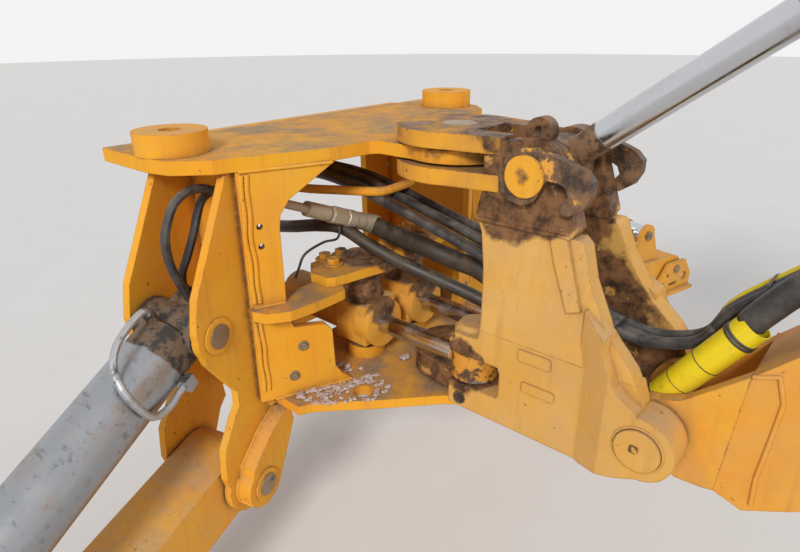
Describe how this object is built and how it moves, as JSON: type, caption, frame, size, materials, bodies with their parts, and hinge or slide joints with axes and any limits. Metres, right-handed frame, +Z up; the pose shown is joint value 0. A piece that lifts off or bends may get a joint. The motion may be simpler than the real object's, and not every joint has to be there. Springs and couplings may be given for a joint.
{
  "type": "backhoe swing frame assembly",
  "caption": "Welded rear frame with stabiliser legs, a swing post turned by twin cylinders, and a curved boom with its lift cylinder, for the back of a loader.",
  "frame": {"origin": "centre of the flat front mounting face of the rear frame", "axes": "+X to the machine's right, +Y forward out of the mounting face, +Z up"},
  "size_m": [3.7604, 3.1443, 2.6208],
  "materials": {
    "frame_paint": "semi-gloss paint under dust",
    "dusty_paint": "matt paint under thick dust",
    "greased_iron": "rust under old grease",
    "bare_steel": "worn bare steel",
    "rod_chrome": "polished with dust and scratches",
    "worn_barrel": "worn grey paint over steel",
    "hose_rubber": "dusty black",
    "yellow_sleeve": "woven sleeve, lemon yellow"
  },
  "bodies": {
    "rear_frame": {"top_plate": "frame_paint", "bottom_plate": "frame_paint", "chassis_plate": "frame_paint", "rail_left": "frame_paint", "rail_right": "frame_paint", "tower_rear_left": "frame_paint", "tower_rear_right": "frame_paint", "tower_front_left": "frame_paint", "tower_front_right": "frame_paint", "shelf_left": "dusty_paint", "shelf_right": "dusty_paint", "trunnion_caps": "dusty_paint", "cab_pads": "frame_paint", "tower_pins": "bare_steel", "guide_pipe": "frame_paint", "swing_hoses": "hose_rubber", "stab_hoses_left": "hose_rubber", "stab_hoses_right": "hose_rubber"},
    "post": {"swing_post": "dusty_paint", "post_fork": "dusty_paint", "post_head": "dusty_paint", "swing_pins": "bare_steel", "boom_pins": "bare_steel", "lift_pin_stubs": "greased_iron", "lock_hooks": "greased_iron", "boom_hoses": "hose_rubber"},
    "boom": {"boom_foot": "dusty_paint", "boom_box": "frame_paint", "boom_nose": "frame_paint", "boom_lugs": "frame_paint", "lift_barrel_pin": "bare_steel", "boom_line_hoses": "hose_rubber", "hose_sleeve": "yellow_sleeve", "hose_block": "bare_steel"},
    "lift_barrel": {"lift_barrel": "dusty_paint"},
    "lift_rod": {"lift_rod": "rod_chrome"},
    "swing_barrel_left": {"swing_barrel_left": "dusty_paint"},
    "swing_rod_left": {"swing_rod_left": "rod_chrome"},
    "leg_left": {"leg_left": "frame_paint", "rod_pin_left": "bare_steel", "foot_pin_left": "bare_steel"},
    "foot_left": {"foot_left": "frame_paint"},
    "stab_barrel_left": {"stab_barrel_left": "worn_barrel", "stab_pipe_left": "bare_steel"},
    "stab_rod_left": {"stab_rod_left": "rod_chrome"},
    "swing_barrel_right": {"swing_barrel_right": "dusty_paint"},
    "swing_rod_right": {"swing_rod_right": "rod_chrome"},
    "leg_right": {"leg_right": "frame_paint", "rod_pin_right": "bare_steel", "foot_pin_right": "bare_steel"},
    "foot_right": {"foot_right": "frame_paint"},
    "stab_barrel_right": {"stab_barrel_right": "worn_barrel", "stab_pipe_right": "bare_steel"},
    "stab_rod_right": {"stab_rod_right": "rod_chrome"}
  },
  "joints": [
    {"name": "swing", "type": "hinge", "parent": "rear_frame", "child": "post", "pos_m": [0, -0.6, 0], "axis": [0, 0, 1], "range_deg": [-90, 90], "deforming": ["swing_hoses"]},
    {"name": "swing_barrel_right_pivot", "type": "hinge", "parent": "rear_frame", "child": "swing_barrel_right", "pos_m": [0.09, -0.365, -0.208], "axis": [0, 0, 1], "range_deg": [-30.8, 30.8]},
    {"name": "swing_rod_right_slide", "type": "slide", "parent": "swing_barrel_right", "child": "swing_rod_right", "axis": [0, -1, 0], "range_m": [-0.1265, 0.1265]},
    {"name": "swing_barrel_left_pivot", "type": "hinge", "parent": "rear_frame", "child": "swing_barrel_left", "pos_m": [-0.09, -0.365, -0.208], "axis": [0, 0, 1], "range_deg": [-30.8, 30.8]},
    {"name": "swing_rod_left_slide", "type": "slide", "parent": "swing_barrel_left", "child": "swing_rod_left", "axis": [0, -1, 0], "range_m": [-0.1265, 0.1265]},
    {"name": "boom", "type": "hinge", "parent": "post", "child": "boom", "pos_m": [0, -1.153, -0.2], "axis": [-1, 0, 0], "range_deg": [-61, 38], "deforming": ["boom_hoses"]},
    {"name": "lift_barrel_pivot", "type": "hinge", "parent": "boom", "child": "lift_barrel", "pos_m": [0, -2.16849, 1.25469], "axis": [-1, 0, 0], "range_deg": [-1.93, 1.24]},
    {"name": "lift_rod_slide", "type": "slide", "parent": "lift_barrel", "child": "lift_rod", "axis": [0, 0.7994, -0.6008], "range_m": [-0.4019, 0.6446]},
    {"name": "stabiliser_left", "type": "hinge", "parent": "rear_frame", "child": "leg_left", "pos_m": [-0.52343, -0.24761, -0.513], "axis": [-0.2588, 0.9659, 0], "range_deg": [-14, 58]},
    {"name": "foot_left_pivot", "type": "hinge", "parent": "leg_left", "child": "foot_left", "pos_m": [-1.71391, -0.5666, -0.77497], "axis": [-0.2588, 0.9659, 0], "range_deg": [-26, 30]},
    {"name": "stab_barrel_left_pivot", "type": "hinge", "parent": "rear_frame", "child": "stab_barrel_left", "pos_m": [-0.57076, -0.26029, -0.084], "axis": [-0.2588, 0.9659, 0], "range_deg": [-14.76, 60.52], "deforming": ["stab_hoses_left"]},
    {"name": "stab_rod_left_slide", "type": "slide", "parent": "stab_barrel_left", "child": "stab_rod_left", "axis": [-0.8789, -0.2355, -0.4148], "range_m": [-0.3954, 0.0962]},
    {"name": "stabiliser_right", "type": "hinge", "parent": "rear_frame", "child": "leg_right", "pos_m": [0.52343, -0.24761, -0.513], "axis": [-0.2588, -0.9659, 0], "range_deg": [-22, 46]},
    {"name": "foot_right_pivot", "type": "hinge", "parent": "leg_right", "child": "foot_right", "pos_m": [1.73976, -0.57352, -0.55697], "axis": [-0.2588, -0.9659, 0], "range_deg": [-16, 40]},
    {"name": "stab_barrel_right_pivot", "type": "hinge", "parent": "rear_frame", "child": "stab_barrel_right", "pos_m": [0.57076, -0.26029, -0.084], "axis": [-0.2588, -0.9659, 0], "range_deg": [-22.86, 47.58], "deforming": ["stab_hoses_right"]},
    {"name": "stab_rod_right_slide", "type": "slide", "parent": "stab_barrel_right", "child": "stab_rod_right", "axis": [0.9311, -0.2495, -0.2663], "range_m": [-0.323, 0.155]}
  ],
  "couplings": [
    {"joint": "swing_barrel_right_pivot", "follows": "swing", "ratio": 0.34},
    {"joint": "swing_rod_right_slide", "follows": "swing", "m_per_rad": -0.080214},
    {"joint": "swing_barrel_left_pivot", "follows": "swing", "ratio": 0.34},
    {"joint": "swing_rod_left_slide", "follows": "swing", "m_per_rad": 0.080214},
    {"joint": "lift_barrel_pivot", "follows": "boom", "ratio": 0.03},
    {"joint": "lift_rod_slide", "follows": "boom", "m_per_rad": -0.60447},
    {"joint": "stab_barrel_left_pivot", "follows": "stabiliser_left", "ratio": 1.04},
    {"joint": "stab_rod_left_slide", "follows": "stabiliser_left", "m_per_rad": -0.38961},
    {"joint": "stab_barrel_right_pivot", "follows": "stabiliser_right", "ratio": 1.03},
    {"joint": "stab_rod_right_slide", "follows": "stabiliser_right", "m_per_rad": -0.40107}
  ]
}
